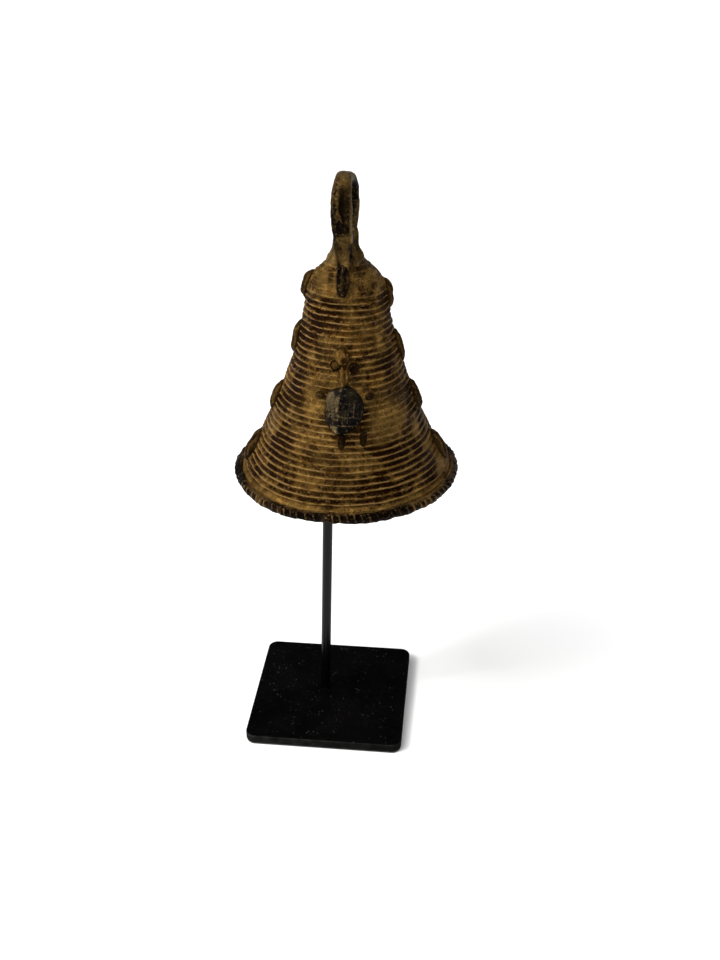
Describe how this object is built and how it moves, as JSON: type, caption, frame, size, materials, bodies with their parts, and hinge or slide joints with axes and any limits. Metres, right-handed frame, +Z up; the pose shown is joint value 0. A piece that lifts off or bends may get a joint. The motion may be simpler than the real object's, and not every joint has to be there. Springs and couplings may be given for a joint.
{
  "type": "cast bell on display stand",
  "caption": "Flared cast bell with coiled-thread surface, oval bosses, a tortoise relief and a top loop, hung with its clapper on a rod stand with a square plate.",
  "frame": {"origin": "centre of the underside of the stand's square plate, on the floor", "axes": "+Z up; the plate's sides lie along X and Y; -Y is the front, where the tortoise faces, turned 6 degrees towards +X with the bell"},
  "size_m": [0.1073, 0.1074, 0.2828],
  "materials": {
    "black_paint": "satin",
    "screw_steel": "zinc plated",
    "felt": "pressed felt",
    "bell_bronze": "dusty ochre patina",
    "worn_bronze": "dark handled patina",
    "dark_bronze": "dark brown patina",
    "iron": "forged, lightly rusted"
  },
  "bodies": {
    "stand": {"base_plate": "black_paint", "base_felt": "felt", "stand_rod": "black_paint", "rod_screw": "screw_steel", "cradle_ring": "black_paint"},
    "washer": {"felt_washer": "felt"},
    "bell": {"bell_body": "bell_bronze", "rim_rope": "dark_bronze", "tortoise_shell": "worn_bronze", "tortoise_head": "worn_bronze", "tortoise_neck": "worn_bronze", "tortoise_eyes": "worn_bronze", "tortoise_feet": "worn_bronze", "front_boss": "worn_bronze", "left_bosses": "bell_bronze", "right_bosses": "bell_bronze", "back_bosses": "bell_bronze", "suspension_loop": "dark_bronze", "clapper_staple": "iron"},
    "clapper": {"clapper_shank": "iron", "clapper_ball": "iron"}
  },
  "joints": [
    {"name": "bell_turn", "type": "hinge", "parent": "stand", "child": "washer", "pos_m": [0.00835, 0.0027, 0.2349], "axis": [0, 0, 1], "range_deg": [-15, 15]},
    {"name": "bell_lift", "type": "slide", "parent": "washer", "child": "bell", "axis": [0, 0, 1], "range_m": [0, 0.1]},
    {"name": "clapper_swing", "type": "hinge", "parent": "bell", "child": "clapper", "pos_m": [0.00835, 0.0027, 0.228], "axis": [0.9945, 0.1045, 0], "range_deg": [-24, 24]}
  ]
}
